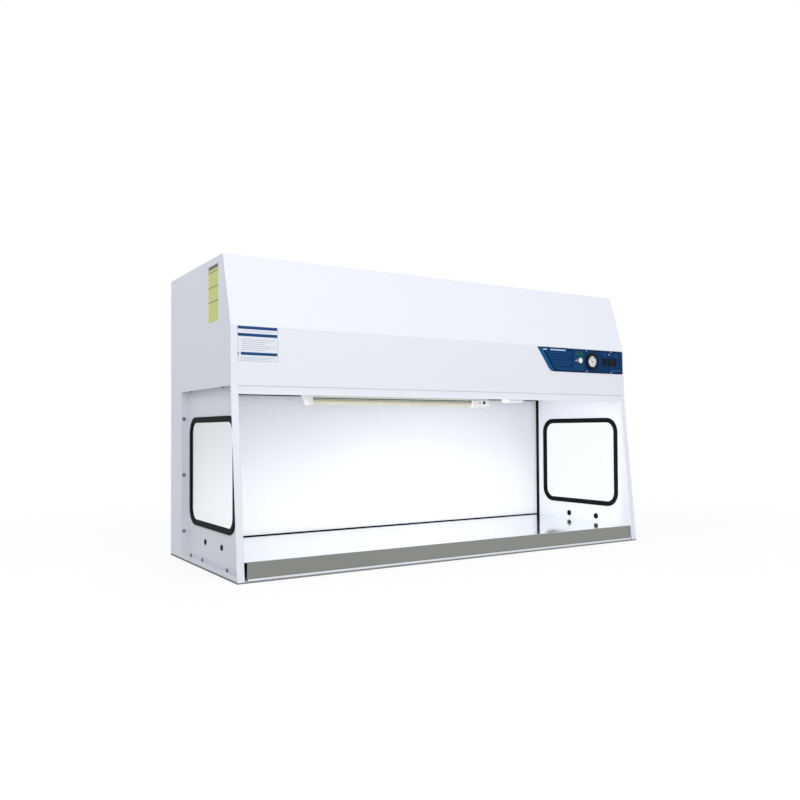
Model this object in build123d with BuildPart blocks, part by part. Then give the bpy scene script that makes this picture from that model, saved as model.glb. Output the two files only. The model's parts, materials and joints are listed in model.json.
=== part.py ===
from build123d import *
import math
import os

os.makedirs("parts", exist_ok=True)

# Horizontal laminar flow cabinet, millimetres.
# +X to the operator's right, +Y to the rear, +Z up, origin under the middle of the base.

# ---- overall form -----------------------------------------------------------------------
cabinet_width = 1905.0
cabinet_depth = 770.0
cabinet_height = 1128.0
sheet = 1.5
bend_radius = 3.0
head_bottom = 664.0
head_setback = 63.0
fold_height = 870.5
fold_setback = 65.5
top_setback = 143.0
lip_drop = 30.0
lip_setback = 4.0
seam_height = 730.0
casing_depth = 147.5
rim_width = 15.0
seat_clearance = 0.2

# ---- base -------------------------------------------------------------------------------
foot_height = 5.0
foot_width = 20.0
tray_height = 18.5
tray_setback = 5.0
base_lip_height = 7.0
base_lip_setback = 1.5
nosing_setback = 10.0
nosing_end_gap = 11.0
work_height = 68.5
nosing_return = 18.0
rear_bearer_width = 22.0
bearer_count = 5
bearer_width = 40.0
bearer_foot = 16.0

# ---- side pans --------------------------------------------------------------------------
post_width = 27.0
window_width = 490.0
window_height = 402.0
window_middle_y = -52.0
window_middle_z = 353.5
window_corner = 60.0
gasket_width = 22.0
gasket_thickness = 13.0
gasket_grip = 8.0
pane_thickness = 5.0
rubber_clearance = 0.2
plug_radius = 8.5
plug_head_radius = 13.0
plug_collar_radius = 10.5
plug_head_height = 2.5
plug_height = 93.0
plug_places = (-163.0, 17.5)

# ---- fasteners --------------------------------------------------------------------------
bolt_radius = 3.0
bolt_hole_clearance = 0.3
bolt_head_radius = 5.5
bolt_head_height = 4.5
bolt_flange_radius = 7.5
bolt_flange_height = 1.2
bolt_length = 9.0
bolt_edge = 10.0
rear_bolt_heights = (112.5, 334.0, 556.5)
top_bolt_places = (-215.0, 148.5)
base_bolt_places = (-220.0, 51.0, 188.0)
base_bolt_height = 21.5

# ---- filter -----------------------------------------------------------------------------
seal_width = 14.5
seal_reveal = 2.0
seal_reveal_bottom = 3.0
seal_reveal_top = 7.0
seal_depth = 16.0
filter_depth = 68.0
filter_wall = 12.0
filter_inset = 1.5
guard_thickness = 1.2
pleat_pitch = 16.0
pleat_thickness = 2.4
pack_inset = 5.0
rail_foot = 20.0
clamp_width = 30.0
clamp_heights = (140.0, 300.0, 460.0, 620.0)

# ---- blowers ----------------------------------------------------------------------------
blower_end_gap = 502.5
blower_wall = 1.5
blower_width = 130.0
scroll_step = 15.0
scroll_radius = 127.5
scroll_height = 205.0
outlet_gap = 5.0
outlet_depth = 135.0
outlet_flange = 15.0
impeller_radius = 112.0
impeller_width = 104.0
impeller_disc = 2.0
impeller_ring = 4.0
blade_count = 28
blade_depth = 16.0
blade_thickness = 1.2
blade_curve = 11.0
inlet_radius = 90.0
inlet_lip = 8.0
hub_radius = 14.0
hub_length = 26.0
shaft_radius = 6.0
running_clearance = 0.05
motor_radius = 52.0
motor_length = 84.0
motor_flange_radius = 66.0
motor_flange = 4.0

# ---- prefilters -------------------------------------------------------------------------
prefilter_width = 560.0
prefilter_length = 260.0
prefilter_ledge = 15.0
prefilter_depth = 20.0
slot_width = 12.0
slot_length = 70.0
slot_pitch_x = 26.0
slot_pitch_y = 82.0
slot_columns = 20
slot_rows = 3

# ---- lamp -------------------------------------------------------------------------------
lamp_left = -620.0
lamp_length = 870.0
lamp_y = -185.0
lamp_body_width = 30.0
lamp_body_height = 31.5
lamp_spine_width = 14.0
lamp_spine_height = 4.0
lamp_cap_left = 32.0
lamp_cap_right = 86.5
lamp_cap_width = 36.0
lamp_cap_height = 60.0
lamp_cap_slope = 17.0
tube_radius = 10.0
tube_gap = 6.0
tube_grip = 9.0
socket_places = ((49.5, 3.5), (26.5, 7.0))
socket_height = 40.5
socket_depth = 5.0
cover_width = 143.0
cover_depth = 60.0
cover_height = 43.5
cover_left = 238.0
cover_gap = 2.0

# ---- controls ---------------------------------------------------------------------------
panel_end_gap = 8.5
panel_width = 520.0
panel_drop = 4.0
panel_height = 104.5
panel_thickness = 2.0
panel_slant = 74.0
panel_corner = 6.0
panel_tip_corner = 1.0
panel_low_corner = 32.0
panel_opening_margin = 12.0
gauge_place = 324.0
gauge_drop = 57.0
gauge_bezel_radius = 36.5
gauge_bezel_height = 5.0
gauge_dial_radius = 28.0
gauge_case_radius = 32.0
gauge_case_depth = 34.0
gauge_wall = 2.0
lens_thickness = 2.0
dial_depth = 4.0
needle_length = 22.0
needle_tail = 7.0
needle_plate = 0.8
needle_rest_angle = 140.0
needle_pivot_radius = 1.5
knob_place = 243.0
knob_drop = 56.0
knob_radius = 13.5
knob_height = 10.0
knob_flutes = 18
knob_flute_radius = 1.0
knob_taper = 6.0
knob_mark_width = 2.0
knob_shaft_radius = 3.0
bushing_radius = 5.0
knob_lift = 0.5
control_depth = 24.0
control_radius = 13.0
pilot_place = 225.5
pilot_radius = 2.5
pilot_rim = 0.8
pilot_depth = 18.0
rocker_place = 434.5
rocker_pitch = 32.0
rocker_drop = 57.0
rocker_width = 12.0
rocker_length = 25.0
rocker_rise = 4.0
rocker_tilt = 7.0
rocker_clearance = 0.8
rocker_frame_wall = 2.5
rocker_frame_height = 2.0
rocker_frame_lip = 1.5
rocker_pivot_lift = 1.0
rocker_case_depth = 20.0
rocker_pin_radius = 1.5
rocker_pin_length = 1.5
signal_place = 433.5
signal_drop = 21.0
signal_radius = 2.5
panel_screw_radius = 2.0
panel_screw_length = 6.0
panel_screw_places = (288.0, 444.5)
panel_screw_edge = 5.0
screw_head_radius = 3.8
screw_head_height = 1.6
control_box_depth = 70.0
control_box_wall = 1.2
control_box_margin = 3.0

# ---- electrical parts -------------------------------------------------------------------
ballast_length = 230.0
ballast_width = 40.0
ballast_height = 28.0
inlet_end_gap = 132.5
inlet_rise = 68.5
inlet_body_width = 27.0
inlet_body_height = 22.0
inlet_body_depth = 24.0
inlet_plate_width = 50.0
inlet_plate_height = 30.0
inlet_cavity_depth = 16.0
inlet_wall = 2.0
pin_spacing = 7.0
pin_rise = 2.0

# ---- planes and lines that pieces share ---------------------------------------------------
half_width = cabinet_width / 2
front_y = -cabinet_depth / 2
rear_y = cabinet_depth / 2
inner_x = half_width - post_width
tray_top = foot_height + tray_height
tray_floor = foot_height + sheet
casing_y = rear_y - casing_depth
seal_y = casing_y + sheet
filter_y = seal_y + seal_depth
filter_rear = filter_y + filter_depth
underside = work_height - sheet
deck_top = seam_height + sheet
fold_y = front_y + fold_setback
head_front_y = front_y + head_setback
top_front_y = front_y + top_setback
bolt_x = half_width - bolt_edge
bolt_hole_radius = bolt_radius + bolt_hole_clearance
seal_half_width = inner_x - seal_reveal + seal_width
seal_bottom = work_height + seal_reveal_bottom - seal_width
seal_top = head_bottom - seal_reveal_top + seal_width
panel_right = half_width - panel_end_gap
panel_left = panel_right - panel_width
gauge_x = panel_left + gauge_place
knob_x = panel_left + knob_place
pilot_x = panel_left + pilot_place
signal_x = panel_left + signal_place
rocker_middle_x = panel_left + rocker_place
blower_x = half_width - blower_end_gap
inlet_x = half_width - inlet_end_gap
inlet_z = deck_top + inlet_rise
screw_drops = (panel_drop + panel_screw_edge, panel_drop + panel_height - panel_screw_edge)
screw_spots = [(panel_left + place, -drop) for place in panel_screw_places for drop in screw_drops]


def post_y(height):
    """Front face of the sloping posts at a height above the floor."""
    return front_y + head_setback * height / head_bottom


def finish(piece, name):
    """Label a finished piece and write it as its own STEP file."""
    piece.part.label = name
    export_step(piece.part, f"parts/{name}.step")


def folded_profile(plane, corners, radius=bend_radius, side=Side.LEFT):
    """Section of a folded sheet, from the corner points of its outer surface."""
    with BuildSketch(plane) as profile:
        with BuildLine():
            FilletPolyline(*corners, radius=radius)
            offset(amount=sheet, side=side)
        make_face()
    return profile.sketch


def folded_sheet(plane, corners, length, radius=bend_radius, side=Side.LEFT):
    """Add a folded sheet to the part in hand, its length halved by the plane."""
    extrude(folded_profile(plane, corners, radius, side), amount=length / 2, both=True)


# ---- base ---------------------------------------------------------------------------------
with BuildPart() as base_feet:
    with BuildSketch():
        Rectangle(cabinet_width, cabinet_depth)
        Rectangle(cabinet_width - 2 * foot_width, cabinet_depth - 2 * foot_width, mode=Mode.SUBTRACT)
    extrude(amount=foot_height)
finish(base_feet, "base_feet")

with BuildPart() as base_tray:
    tray_front = front_y + tray_setback
    folded_sheet(
        Plane.XZ.offset(-(tray_front + rear_y) / 2),
        [(-half_width, tray_top), (-half_width, foot_height),
         (half_width, foot_height), (half_width, tray_top)],
        rear_y - tray_front,
    )
    with Locations((0, rear_y - sheet, tray_floor)):
        tray_inside = cabinet_width - 2 * bend_radius
        Box(tray_inside, sheet, tray_height - sheet, align=(Align.CENTER, Align.MIN, Align.MIN))
    lip_front = front_y + base_lip_setback
    lip_back = front_y + nosing_setback + nosing_return
    lip_top = foot_height + base_lip_height
    folded_sheet(
        Plane.YZ,
        [(lip_back, lip_top), (lip_front, lip_top), (lip_front, foot_height), (lip_back, foot_height)],
        2 * (inner_x - nosing_end_gap),
        radius=2.0,
    )
finish(base_tray, "base_tray")

with BuildPart() as surface_bearers:
    bearer_front = lip_back + nosing_return
    bearer_back = casing_y - rear_bearer_width
    bearer_pitch = 2 * inner_x / bearer_count
    half_top = bearer_width / 2
    for index in range(bearer_count):
        middle = (index - (bearer_count - 1) / 2) * bearer_pitch
        folded_sheet(
            Plane.XZ.offset(-(bearer_front + bearer_back) / 2),
            [(middle - half_top - bearer_foot, tray_floor), (middle - half_top, tray_floor),
             (middle - half_top, underside - sheet), (middle + half_top, underside - sheet),
             (middle + half_top, tray_floor), (middle + half_top + bearer_foot, tray_floor)],
            bearer_back - bearer_front,
            radius=1.0,
        )
    for side in (-1, 1):
        folded_sheet(
            Plane.XZ.offset(-(bearer_front + bearer_back) / 2),
            [(side * (inner_x - bearer_foot), tray_floor), (side * inner_x, tray_floor),
             (side * inner_x, underside), (side * (inner_x - bearer_foot), underside)],
            bearer_back - bearer_front,
            side=Side.RIGHT if side < 0 else Side.LEFT,
        )
        with BuildSketch(Plane.YZ.offset(side * inner_x)):
            with Locations(*[(y, base_bolt_height) for y in base_bolt_places]):
                Circle(bolt_hole_radius)
        extrude(amount=2 * sheet, both=True, mode=Mode.SUBTRACT)
finish(surface_bearers, "surface_bearers")

with BuildPart() as rear_bearer:
    folded_sheet(
        Plane.YZ,
        [(casing_y - rear_bearer_width, tray_floor), (seal_y, tray_floor), (seal_y, underside),
         (casing_y - rear_bearer_width, underside)],
        2 * inner_x - sheet,
        radius=2.0,
    )
finish(rear_bearer, "rear_bearer")

with BuildPart() as work_surface:
    nosing_y = front_y + nosing_setback
    folded_sheet(
        Plane.YZ,
        [(seal_y, work_height), (nosing_y, work_height), (nosing_y, lip_top),
         (nosing_y + nosing_return, lip_top)],
        2 * inner_x - 2 * bolt_hole_clearance,
    )
    with BuildSketch(Plane.XY.offset(underside)):
        with Locations((0, nosing_y)):
            Rectangle(2 * inner_x, 3 * nosing_return)
            Rectangle(2 * (inner_x - nosing_end_gap), 3 * nosing_return, mode=Mode.SUBTRACT)
    extrude(amount=-work_height, mode=Mode.SUBTRACT)
finish(work_surface, "work_surface")


# ---- side pans, windows and plugs -----------------------------------------------------------
def rounded_window(width, height, corner):
    """Sketch outline of a window-sized rounded rectangle in the plane of the side walls."""
    with Locations((window_middle_y, window_middle_z)):
        RectangleRounded(width, height, corner)


def build_side_pan(side):
    """One side of the work area: a web with flanges folded outwards, open at its foot."""
    outline = [
        (post_y(tray_floor), tray_floor), (casing_y, tray_floor),
        (casing_y, head_bottom), (post_y(head_bottom), head_bottom),
    ]
    foot = tray_floor - sheet
    lowered = [(post_y(foot), foot), (casing_y, foot), *outline[2:]]
    tail = [
        (post_y(foot_height), foot_height), (post_y(foot_height) + sheet, foot_height),
        (post_y(tray_floor) + sheet, tray_floor), (post_y(tray_floor), tray_floor),
    ]
    web_plane = Plane.YZ.offset(side * inner_x)
    with BuildPart() as pan:
        with BuildSketch(web_plane):
            with BuildLine():
                Polyline(*outline, close=True)
            make_face()
        extrude(amount=side * post_width)
        web_edges = pan.faces().sort_by(Axis.X)[0 if side > 0 else -1].edges()
        fillet(web_edges.sort_by(Axis.Z)[1:], bend_radius)
        with BuildSketch(web_plane.offset(side * sheet)):
            with BuildLine():
                Polyline(*lowered, close=True)
            make_face()
            offset(amount=-sheet, kind=Kind.INTERSECTION, mode=Mode.REPLACE)
        extrude(amount=side * post_width, mode=Mode.SUBTRACT)
        with Locations((side * half_width, casing_y, tray_floor)):
            Box(
                2 * bend_radius, 4 * bend_radius, tray_height,
                align=(Align.CENTER, Align.CENTER, Align.MIN), mode=Mode.SUBTRACT,
            )
        with BuildSketch(web_plane):
            with BuildLine():
                Polyline(*tail, close=True)
            make_face()
        extrude(amount=side * post_width)
        with BuildSketch(web_plane):
            rounded_window(window_width, window_height, window_corner)
            with Locations(*[(y, plug_height) for y in plug_places]):
                Circle(plug_radius + rubber_clearance)
            with Locations(*[(y, base_bolt_height) for y in base_bolt_places]):
                Circle(bolt_hole_radius)
        extrude(amount=side * sheet, mode=Mode.SUBTRACT)
        with BuildSketch(Plane.XZ.offset(-casing_y)):
            with Locations(*[(side * bolt_x, z) for z in rear_bolt_heights]):
                Circle(bolt_hole_radius)
        extrude(amount=2 * sheet, both=True, mode=Mode.SUBTRACT)
        with BuildSketch(Plane.XY.offset(head_bottom)):
            with Locations(*[(side * bolt_x, y) for y in top_bolt_places]):
                Circle(bolt_hole_radius)
        extrude(amount=2 * sheet, both=True, mode=Mode.SUBTRACT)
    return pan


def build_window_gasket(side):
    """Black locking section: an H profile that grips the sheet outside and the pane inside."""
    middle = Plane.YZ.offset(side * (inner_x + sheet / 2))
    lip = (gasket_width - gasket_grip) / 2
    with BuildPart() as gasket:
        with BuildSketch(middle):
            rounded_window(window_width + 2 * lip, window_height + 2 * lip, window_corner + lip)
            inner_lip = gasket_width - lip
            rounded_window_inner = (window_width - 2 * inner_lip, window_height - 2 * inner_lip)
            with Locations((window_middle_y, window_middle_z)):
                RectangleRounded(*rounded_window_inner, window_corner - inner_lip, mode=Mode.SUBTRACT)
        extrude(amount=gasket_thickness / 2, both=True)
        fillet(gasket.faces().filter_by(Axis.X).edges(), gasket_thickness / 4)
        with BuildSketch(middle):
            rounded_window(window_width + 4 * lip, window_height + 4 * lip, window_corner + 2 * lip)
            with Locations((window_middle_y, window_middle_z)):
                RectangleRounded(
                    window_width - 2 * rubber_clearance, window_height - 2 * rubber_clearance,
                    window_corner - rubber_clearance, mode=Mode.SUBTRACT,
                )
        extrude(amount=sheet / 2 + rubber_clearance / 2, both=True, mode=Mode.SUBTRACT)
        with BuildSketch(middle):
            with Locations((window_middle_y, window_middle_z)):
                RectangleRounded(
                    window_width - 2 * gasket_grip, window_height - 2 * gasket_grip,
                    window_corner - gasket_grip,
                )
        extrude(amount=pane_thickness / 2 + rubber_clearance / 2, both=True, mode=Mode.SUBTRACT)
    return gasket


def build_window_pane(side):
    """Clear pane held in the gasket's inner groove."""
    with BuildPart() as pane:
        with BuildSketch(Plane.YZ.offset(side * (inner_x + sheet / 2))):
            edge = gasket_grip + rubber_clearance
            rounded_window(window_width - 2 * edge, window_height - 2 * edge, window_corner - edge)
        extrude(amount=pane_thickness / 2, both=True)
    return pane


for side, word in ((-1, "left"), (1, "right")):
    finish(build_side_pan(side), f"{word}_side_pan")
    finish(build_window_gasket(side), f"{word}_window_gasket")
    finish(build_window_pane(side), f"{word}_window_pane")

with BuildPart() as port_plugs:
    for side in (-1, 1):
        for y in plug_places:
            stem_length = sheet + 2 * plug_head_height
            with BuildSketch(Plane.YZ.offset(side * (inner_x + sheet / 2))):
                with Locations((y, plug_height)):
                    Circle(plug_radius)
            extrude(amount=stem_length / 2, both=True)
            inside_end = (inner_x - plug_head_height, plug_head_radius)
            outside_end = (inner_x + sheet, plug_collar_radius)
            for end_x, end_radius in (inside_end, outside_end):
                with BuildSketch(Plane.YZ.offset(side * end_x)):
                    with Locations((y, plug_height)):
                        Circle(end_radius)
                extrude(amount=side * plug_head_height)
finish(port_plugs, "port_plugs")

# ---- rear casing and filter -----------------------------------------------------------------
with BuildPart() as rear_casing:
    casing_height = seam_height - tray_top
    return_end = half_width - post_width + sheet
    folded_sheet(
        Plane.XY.offset(tray_top + casing_height / 2),
        [(-return_end, casing_y), (-half_width, casing_y), (-half_width, rear_y),
         (half_width, rear_y), (half_width, casing_y), (return_end, casing_y)],
        casing_height,
        side=Side.RIGHT,
    )
    with Locations((0, casing_y, head_bottom)):
        Box(
            cabinet_width, sheet, cabinet_height,
            align=(Align.CENTER, Align.MIN, Align.MIN), mode=Mode.SUBTRACT,
        )
    with BuildSketch(Plane.XZ.offset(-casing_y)):
        with Locations(*[(side * bolt_x, z) for side in (-1, 1) for z in rear_bolt_heights]):
            Circle(bolt_hole_radius)
    extrude(amount=2 * sheet, both=True, mode=Mode.SUBTRACT)
finish(rear_casing, "rear_casing")


def ring_sketch(inset):
    """Sketch rectangle in the filter's plane, its edges moved in by the inset."""
    width = 2 * (seal_half_width - inset)
    height = seal_top - seal_bottom - 2 * inset
    with Locations((0, (seal_top + seal_bottom) / 2)):
        return Rectangle(width, height)


def frontal_plane(y):
    """Upright plane across the cabinet at a depth, facing the rear."""
    return Plane(origin=(0, y, 0), x_dir=(1, 0, 0), z_dir=(0, -1, 0))


with BuildPart() as filter_seal:
    with BuildSketch(frontal_plane(seal_y)):
        ring_sketch(0)
        with Locations((0, (seal_top + seal_bottom) / 2)):
            seal_opening_width = 2 * (seal_half_width - seal_width)
            seal_opening_height = seal_top - seal_bottom - 2 * seal_width
            Rectangle(seal_opening_width, seal_opening_height, mode=Mode.SUBTRACT)
    extrude(amount=-seal_depth)
finish(filter_seal, "filter_seal")

with BuildPart() as filter_frame:
    with BuildSketch(frontal_plane(filter_y)):
        ring_sketch(0)
        with Locations((0, (seal_top + seal_bottom) / 2)):
            frame_opening_width = 2 * (seal_half_width - filter_wall)
            frame_opening_height = seal_top - seal_bottom - 2 * filter_wall
            Rectangle(frame_opening_width, frame_opening_height, mode=Mode.SUBTRACT)
    extrude(amount=-filter_depth)
finish(filter_frame, "filter_frame")

with BuildPart() as filter_guard:
    with BuildSketch(frontal_plane(filter_y + filter_inset)):
        ring_sketch(filter_wall)
    extrude(amount=-guard_thickness)
finish(filter_guard, "filter_guard")

with BuildPart() as filter_pack:
    pack_front = filter_y + filter_inset + guard_thickness + pack_inset
    pack_back = filter_rear - pack_inset
    pack_half_width = seal_half_width - filter_wall
    pleat_count = int(2 * pack_half_width / pleat_pitch)
    pleat_step = 2 * pack_half_width / pleat_count
    front_edge = []
    for index in range(pleat_count):
        left_x = -pack_half_width + index * pleat_step
        front_edge.append((left_x, pack_front))
        front_edge.append((left_x + pleat_step / 2, pack_back - pleat_thickness))
    front_edge.append((pack_half_width, pack_front))
    rear_edge = [(x, y + pleat_thickness) for x, y in reversed(front_edge)]
    pack_bottom = seal_bottom + filter_wall
    pack_top = seal_top - filter_wall
    with BuildSketch(Plane.XY.offset(pack_bottom)):
        with BuildLine():
            Polyline(*front_edge, *rear_edge, close=True)
        make_face()
    extrude(amount=pack_top - pack_bottom)
finish(filter_pack, "filter_pack")

with BuildPart() as filter_rail:
    folded_sheet(
        Plane.YZ,
        [(filter_y + 2 * sheet, tray_floor), (filter_y + 2 * sheet + rail_foot, tray_floor),
         (filter_y + 2 * sheet + rail_foot, seal_bottom - sheet),
         (filter_rear - rail_foot, seal_bottom - sheet), (filter_rear - rail_foot, tray_floor),
         (filter_rear, tray_floor)],
        2 * inner_x,
        radius=1.0,
    )
finish(filter_rail, "filter_rail")

with BuildPart() as filter_clamps:
    wall_inside = half_width - sheet
    for side in (-1, 1):
        for height in clamp_heights:
            arm_end = seal_half_width - filter_wall
            bracket = [
                (side * arm_end, filter_rear), (side * wall_inside, filter_rear),
                (side * wall_inside, filter_rear + clamp_width),
            ]
            folded_sheet(
                Plane.XY.offset(height), bracket, clamp_width, radius=2.0,
                side=Side.RIGHT if side < 0 else Side.LEFT,
            )
finish(filter_clamps, "filter_clamps")

# ---- head -----------------------------------------------------------------------------------
with BuildPart() as head_floor:
    ceiling_front = head_front_y + lip_setback + 2 * sheet
    ceiling_half = half_width - rim_width - 2 * sheet
    folded_sheet(
        Plane.YZ,
        [(ceiling_front, head_bottom), (seal_y, head_bottom), (seal_y, seam_height),
         (rear_y, seam_height)],
        2 * ceiling_half,
        radius=2.0,
        side=Side.LEFT,
    )
    for index in (-1, 1):
        with Locations((index * blower_x, seal_y + outlet_gap + blower_wall, seam_height)):
            Box(
                blower_width - 2 * blower_wall, outlet_depth - 2 * blower_wall, 4 * sheet,
                align=(Align.CENTER, Align.MIN, Align.CENTER), mode=Mode.SUBTRACT,
            )
finish(head_floor, "head_floor")


def build_head_skin(side):
    """Side of the head: a plate with a rim folded inwards all round."""
    outline = [
        (head_front_y + 2 * sheet, head_bottom), (seal_y, head_bottom), (seal_y, seam_height),
        (rear_y, seam_height), (rear_y, cabinet_height - sheet),
        (top_front_y + 2 * sheet, cabinet_height - sheet), (fold_y + 2 * sheet, fold_height),
    ]
    outer = Plane.YZ.offset(side * half_width)
    with BuildPart() as skin:
        with BuildSketch(outer):
            with BuildLine():
                Polyline(*outline, close=True)
            make_face()
        extrude(amount=-side * rim_width)
        with BuildSketch(outer.offset(-side * sheet)):
            with BuildLine():
                Polyline(*outline, close=True)
            make_face()
            offset(amount=-sheet, kind=Kind.INTERSECTION, mode=Mode.REPLACE)
        extrude(amount=-side * rim_width, mode=Mode.SUBTRACT)
        with BuildSketch(Plane.XY.offset(head_bottom)):
            with Locations(*[(side * bolt_x, y) for y in top_bolt_places]):
                Circle(bolt_hole_radius)
        extrude(amount=2 * sheet, both=True, mode=Mode.SUBTRACT)
    return skin


for side, word in ((-1, "left"), (1, "right")):
    finish(build_head_skin(side), f"{word}_head_skin")

front_tilt = math.atan2(fold_setback - head_setback, fold_height - head_bottom - seat_clearance)
front_plane = Plane(
    origin=(0, fold_y, fold_height), x_dir=(1, 0, 0),
    z_dir=(0, -math.cos(front_tilt), math.sin(front_tilt)),
)


def front_at(lift):
    """Plane parallel to the head's lower front, lifted off it towards the operator."""
    return front_plane.offset(lift)


def panel_outline(lift):
    """Outline of the control panel's plate, parallel to the head's lower front."""
    bottom = -panel_drop - panel_height
    with BuildSketch(front_at(lift)) as outline:
        with BuildLine():
            FilletPolyline(
                (panel_left, -panel_drop), (panel_right, -panel_drop), (panel_right, bottom),
                (panel_left + panel_slant, bottom),
                radius=[panel_tip_corner, panel_corner, panel_corner, panel_low_corner], close=True,
            )
        make_face()
    return outline.sketch


opening_left = pilot_x - panel_opening_margin
opening_right = panel_right - panel_opening_margin
opening_top = -panel_drop - panel_opening_margin
opening_bottom = -panel_drop - panel_height + panel_opening_margin

with BuildPart() as head_front:
    with BuildSketch(Plane.YZ):
        with BuildLine():
            FilletPolyline(
                (top_front_y, cabinet_height), (fold_y, fold_height),
                (head_front_y, head_bottom + seat_clearance),
                radius=bend_radius,
            )
            offset(amount=sheet, side=Side.LEFT)
        make_face()
    extrude(amount=half_width, both=True)
    lip_y = head_front_y + lip_setback
    with BuildSketch(Plane.YZ):
        with BuildLine():
            FilletPolyline(
                (head_front_y + sheet / 2, head_bottom + seat_clearance),
                (lip_y, head_bottom + seat_clearance),
                (lip_y, head_bottom - lip_drop),
                (lip_y + rim_width, head_bottom - lip_drop),
                radius=1.6,
            )
            offset(amount=sheet, side=Side.LEFT)
        make_face()
    extrude(amount=inner_x - bolt_hole_clearance, both=True)
    with BuildSketch(front_at(0)):
        with BuildLine():
            Polyline(
                (opening_left, opening_bottom), (opening_right, opening_bottom),
                (opening_right, opening_top), (opening_left, opening_top), close=True,
            )
        make_face()
        with Locations(*screw_spots):
            Circle(panel_screw_radius + rubber_clearance)
    extrude(amount=2 * sheet, both=True, mode=Mode.SUBTRACT)
finish(head_front, "head_front")

with BuildPart() as top_panel:
    with BuildSketch(Plane.XY.offset(cabinet_height - sheet)):
        with BuildLine():
            Polyline(
                (-half_width, top_front_y + 2 * sheet), (half_width, top_front_y + 2 * sheet),
                (half_width, rear_y), (-half_width, rear_y), close=True,
            )
        make_face()
        with Locations(*[(index * blower_x, 0) for index in (-1, 1)]):
            Rectangle(
                prefilter_width - 2 * prefilter_ledge, prefilter_length - 2 * prefilter_ledge,
                mode=Mode.SUBTRACT,
            )
    extrude(amount=sheet)
finish(top_panel, "top_panel")

with BuildPart() as head_rear:
    with BuildSketch(frontal_plane(rear_y - 2 * sheet)):
        rear_plate_bottom = deck_top
        rear_plate_height = cabinet_height - 2 * sheet - rear_plate_bottom
        with Locations((0, rear_plate_bottom + rear_plate_height / 2)):
            Rectangle(cabinet_width - 2 * sheet - 1.0, rear_plate_height)
        with Locations((inlet_x, inlet_z)):
            Rectangle(inlet_body_width + 1.0, inlet_body_height + 1.0, mode=Mode.SUBTRACT)
    extrude(amount=-sheet)
finish(head_rear, "head_rear")


# ---- prefilters on the top --------------------------------------------------------------------
for index, word in ((-1, "left"), (1, "right")):
    middle_x = index * blower_x
    opening_width = prefilter_width - 2 * prefilter_ledge - 2 * seat_clearance
    opening_length = prefilter_length - 2 * prefilter_ledge - 2 * seat_clearance

    with BuildPart() as prefilter_frame:
        with BuildSketch(Plane.XY.offset(cabinet_height)):
            with Locations((middle_x, 0)):
                Rectangle(prefilter_width, prefilter_length)
                with GridLocations(slot_pitch_x, slot_pitch_y, slot_columns, slot_rows):
                    SlotOverall(slot_length, slot_width, rotation=90, mode=Mode.SUBTRACT)
        extrude(amount=sheet)
        with BuildSketch(Plane.XY.offset(cabinet_height)):
            with Locations((middle_x, 0)):
                Rectangle(opening_width, opening_length)
                Rectangle(opening_width - 2 * sheet, opening_length - 2 * sheet, mode=Mode.SUBTRACT)
        extrude(amount=-prefilter_depth - sheet)
        with BuildSketch(Plane.XY.offset(cabinet_height - prefilter_depth - sheet)):
            with Locations((middle_x, 0)):
                Rectangle(opening_width, opening_length)
                Rectangle(
                    opening_width - 2 * prefilter_ledge, opening_length - 2 * prefilter_ledge,
                    mode=Mode.SUBTRACT,
                )
        extrude(amount=-sheet)
    finish(prefilter_frame, f"{word}_prefilter_frame")

    with BuildPart() as prefilter_pad:
        pad_gap = sheet + seat_clearance
        with BuildSketch(Plane.XY.offset(cabinet_height - prefilter_depth - sheet)):
            with Locations((middle_x, 0)):
                Rectangle(opening_width - 2 * pad_gap, opening_length - 2 * pad_gap)
        extrude(amount=prefilter_depth)
    finish(prefilter_pad, f"{word}_prefilter_pad")

# ---- blowers ----------------------------------------------------------------------------------
outlet_front = seal_y + outlet_gap
outlet_back = outlet_front + outlet_depth
scroll_y = outlet_back - scroll_radius - 2.5 * scroll_step
scroll_z = deck_top + scroll_height


def scroll_outline(x, inset):
    """Closed section of the volute: three quarter turns that open up, then a straight outlet."""
    half_step = scroll_step / 2
    first = scroll_radius - inset
    second = first + scroll_step
    third = second + scroll_step
    tongue_y = outlet_front + inset
    centre_1 = (scroll_y - half_step, scroll_z + half_step)
    centre_2 = (scroll_y + half_step, scroll_z + half_step)
    centre_3 = (scroll_y + half_step, scroll_z - half_step)
    tongue_drop = math.sqrt(first ** 2 - (tongue_y - centre_1[0]) ** 2)
    tongue_z = centre_1[1] - tongue_drop
    tongue_angle = math.degrees(math.atan2(-tongue_drop, tongue_y - centre_1[0])) % 360
    exit_y = centre_3[0] + third
    floor_z = deck_top - (2 * sheet if inset else 0)
    with BuildSketch(Plane.YZ.offset(x)) as outline:
        with BuildLine():
            Line((tongue_y, floor_z), (tongue_y, tongue_z))
            CenterArc(centre_1, first, tongue_angle, 180 - tongue_angle)
            CenterArc(centre_2, second, 180, -90)
            CenterArc(centre_3, third, 90, -90)
            Line((exit_y, centre_3[1]), (exit_y, floor_z))
            Line((exit_y, floor_z), (tongue_y, floor_z))
        make_face()
    return outline.sketch


def blower_plane(x, facing):
    """Plane across the blower's shaft, facing along X one way or the other."""
    return Plane(origin=(x, scroll_y, scroll_z), x_dir=(0, 1, 0), z_dir=(facing, 0, 0))


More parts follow.
